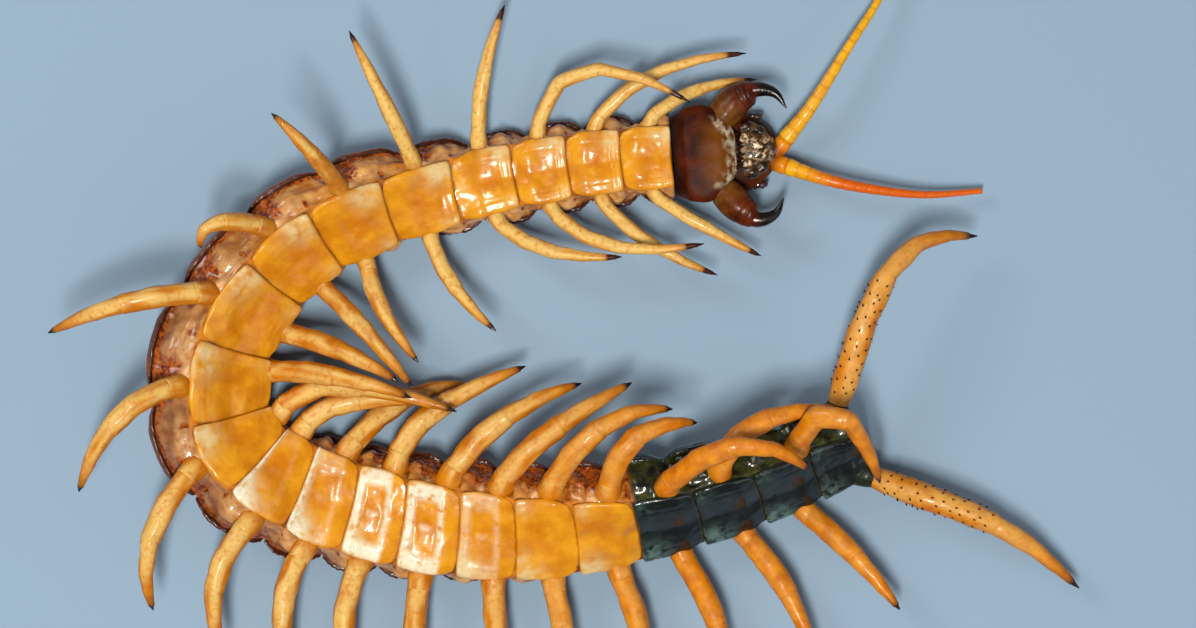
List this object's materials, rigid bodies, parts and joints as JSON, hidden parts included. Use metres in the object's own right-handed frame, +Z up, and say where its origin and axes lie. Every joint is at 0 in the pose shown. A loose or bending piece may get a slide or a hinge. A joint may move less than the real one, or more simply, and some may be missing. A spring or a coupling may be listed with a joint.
{
  "type": "giant centipede model",
  "caption": "Life-size giant desert centipede lying on its back in a C bend, amber belly plates up, with paired legs, antennae, poison claws and a blue-black tail.",
  "frame": {"origin": "on the floor, under the middle of the whole animal's box", "axes": "+Z up, away from the floor; +X towards the side of the head and the tail; +Y towards the head's end of the C"},
  "size_m": [0.1285, 0.0994, 0.0214],
  "materials": {
    "amber_shell": "glossy, translucent",
    "dark_shell": "glossy",
    "leg": "glossy, translucent",
    "tail_leg": "glossy",
    "antenna": "satin",
    "head_shell": "glossy",
    "claw": "glossy",
    "mouthparts": "glossy",
    "eye": "glossy"
  },
  "bodies": {
    "root": {"trunk_01_03": "amber_shell", "trunk_04_06": "amber_shell", "trunk_07_09": "amber_shell", "trunk_10_12": "amber_shell", "trunk_13_15": "amber_shell", "trunk_16_18": "amber_shell", "trunk_19_21": "dark_shell", "leg_right_01": "leg", "leg_right_02": "leg", "leg_right_03": "leg", "leg_right_04": "leg", "leg_right_05": "leg", "leg_right_06": "leg", "leg_right_07": "leg", "leg_right_08": "leg", "leg_right_09": "leg", "leg_right_10": "leg", "leg_right_11": "leg", "leg_right_12": "leg", "leg_right_13": "leg", "leg_right_14": "leg", "leg_right_15": "leg", "leg_right_16": "leg", "leg_right_17": "leg", "leg_right_18": "leg", "leg_right_19": "leg", "leg_right_20": "leg", "leg_right_21": "tail_leg", "leg_left_01": "leg", "leg_left_02": "leg", "leg_left_03": "leg", "leg_left_04": "leg", "leg_left_05": "leg", "leg_left_06": "leg", "leg_left_07": "leg", "leg_left_08": "leg", "leg_left_09": "leg", "leg_left_10": "leg", "leg_left_11": "leg", "leg_left_12": "leg", "leg_left_13": "leg", "leg_left_14": "leg", "leg_left_15": "leg", "leg_left_16": "leg", "leg_left_17": "leg", "leg_left_18": "leg", "leg_left_19": "leg", "leg_left_20": "leg", "leg_left_21": "tail_leg", "antenna_right": "antenna", "eyes_right": "eye", "poison_claw_right": "claw", "antenna_left": "antenna", "eyes_left": "eye", "poison_claw_left": "claw", "head": "head_shell", "claw_plate": "head_shell", "mouthparts": "mouthparts"}
  },
  "joints": []
}
